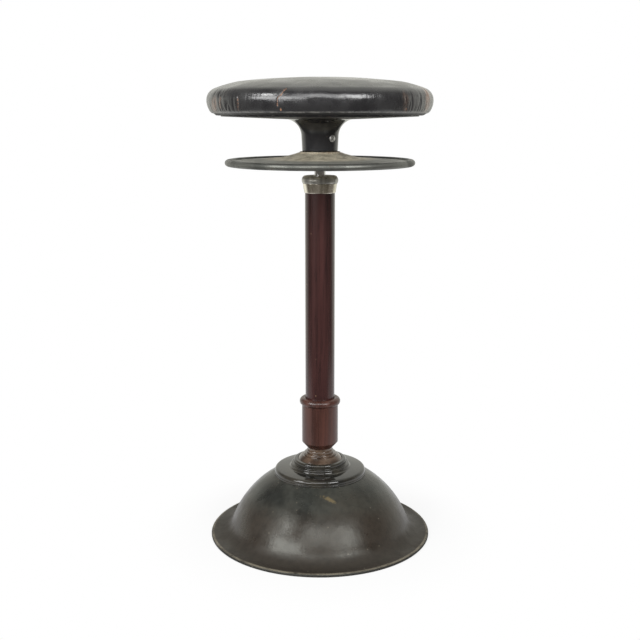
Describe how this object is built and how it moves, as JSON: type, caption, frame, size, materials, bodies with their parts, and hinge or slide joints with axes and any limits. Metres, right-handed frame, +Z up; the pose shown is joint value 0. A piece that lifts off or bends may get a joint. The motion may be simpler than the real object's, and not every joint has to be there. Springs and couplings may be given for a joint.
{
  "type": "dental stool",
  "caption": "Swivel stool with a round leather seat, a hand disc that frees the height lock, and a column that leans in a ball joint on a bell base.",
  "frame": {"origin": "middle of the bell's rim on the floor", "axes": "+Z up along the column, -Y towards the viewer"},
  "size_m": [0.345, 0.345, 0.7057],
  "materials": {
    "bell_iron": "dark patinated, half gloss",
    "black_enamel": "glossy stove enamel",
    "rough_iron": "bare casting",
    "dark_steel": "oiled",
    "bright_steel": "ground",
    "brown_lacquer": "worn brown lacquer",
    "mahogany": "polished",
    "worn_nickel": "worn plating",
    "brass": "machined",
    "buffer_rubber": "matt",
    "board_wood": "sawn",
    "black_leather": "worn, cracked at the sides"
  },
  "bodies": {
    "base": {"bell_base": "bell_iron", "socket_collar": "black_enamel", "socket_cup": "rough_iron", "collar_screws": "dark_steel", "centring_spring": "dark_steel"},
    "pivot": {"cross_pin": "bright_steel"},
    "column": {"ball_foot": "brown_lacquer", "tail_stud": "dark_steel", "spring_plate": "rough_iron", "tail_nut": "dark_steel", "lower_socket": "mahogany", "column_shaft": "mahogany", "lift_tube": "bright_steel", "column_ferrule": "worn_nickel", "gland_cap": "worn_nickel", "guide_bush": "brass", "limit_sleeve": "bright_steel", "tube_buffer": "buffer_rubber"},
    "lift": {"spindle": "bright_steel", "thrust_ball": "bright_steel", "lock_head": "bright_steel", "release_spring": "dark_steel"},
    "shoe_1": {"lock_shoe_1": "bright_steel"},
    "shoe_2": {"lock_shoe_2": "bright_steel"},
    "shoe_3": {"lock_shoe_3": "bright_steel"},
    "release": {"release_rod": "bright_steel", "release_pin": "bright_steel", "release_disc": "worn_nickel"},
    "seat": {"seat_plate": "black_enamel", "hub_screw": "bright_steel", "seat_board": "board_wood", "board_screws": "dark_steel", "seat_cushion": "black_leather"}
  },
  "joints": [
    {"name": "lean_fore_aft", "type": "hinge", "parent": "base", "child": "pivot", "pos_m": [0, 0, 0.09532], "axis": [1, 0, 0], "range_deg": [-8, 8], "stiffness_Nm_per_rad": 150, "deforming": ["centring_spring"]},
    {"name": "lean_sideways", "type": "hinge", "parent": "pivot", "child": "column", "pos_m": [0, 0, 0.09532], "axis": [0, 1, 0], "range_deg": [-8, 8], "stiffness_Nm_per_rad": 150, "deforming": ["centring_spring"]},
    {"name": "seat_height", "type": "slide", "parent": "column", "child": "lift", "axis": [0, 0, 1], "range_m": [0, 0.15]},
    {"name": "seat_swivel", "type": "hinge", "parent": "lift", "child": "seat", "pos_m": [0, 0, 0.62], "axis": [0, 0, 1], "continuous": true},
    {"name": "disc_lift", "type": "slide", "parent": "lift", "child": "release", "axis": [0, 0, 1], "range_m": [0, 0.006], "stiffness_N_per_m": 1500, "springref_m": -0.02, "deforming": ["release_spring"]},
    {"name": "shoe_1_draw", "type": "slide", "parent": "lift", "child": "shoe_1", "axis": [-1, 0, 0], "range_m": [0, 0.00085]},
    {"name": "shoe_2_draw", "type": "slide", "parent": "lift", "child": "shoe_2", "axis": [0.5, -0.866, 0], "range_m": [0, 0.00085]},
    {"name": "shoe_3_draw", "type": "slide", "parent": "lift", "child": "shoe_3", "axis": [0.5, 0.866, 0], "range_m": [0, 0.00085]}
  ],
  "couplings": [
    {"joint": "shoe_1_draw", "follows": "disc_lift", "ratio": 0.14054},
    {"joint": "shoe_2_draw", "follows": "disc_lift", "ratio": 0.14054},
    {"joint": "shoe_3_draw", "follows": "disc_lift", "ratio": 0.14054}
  ]
}
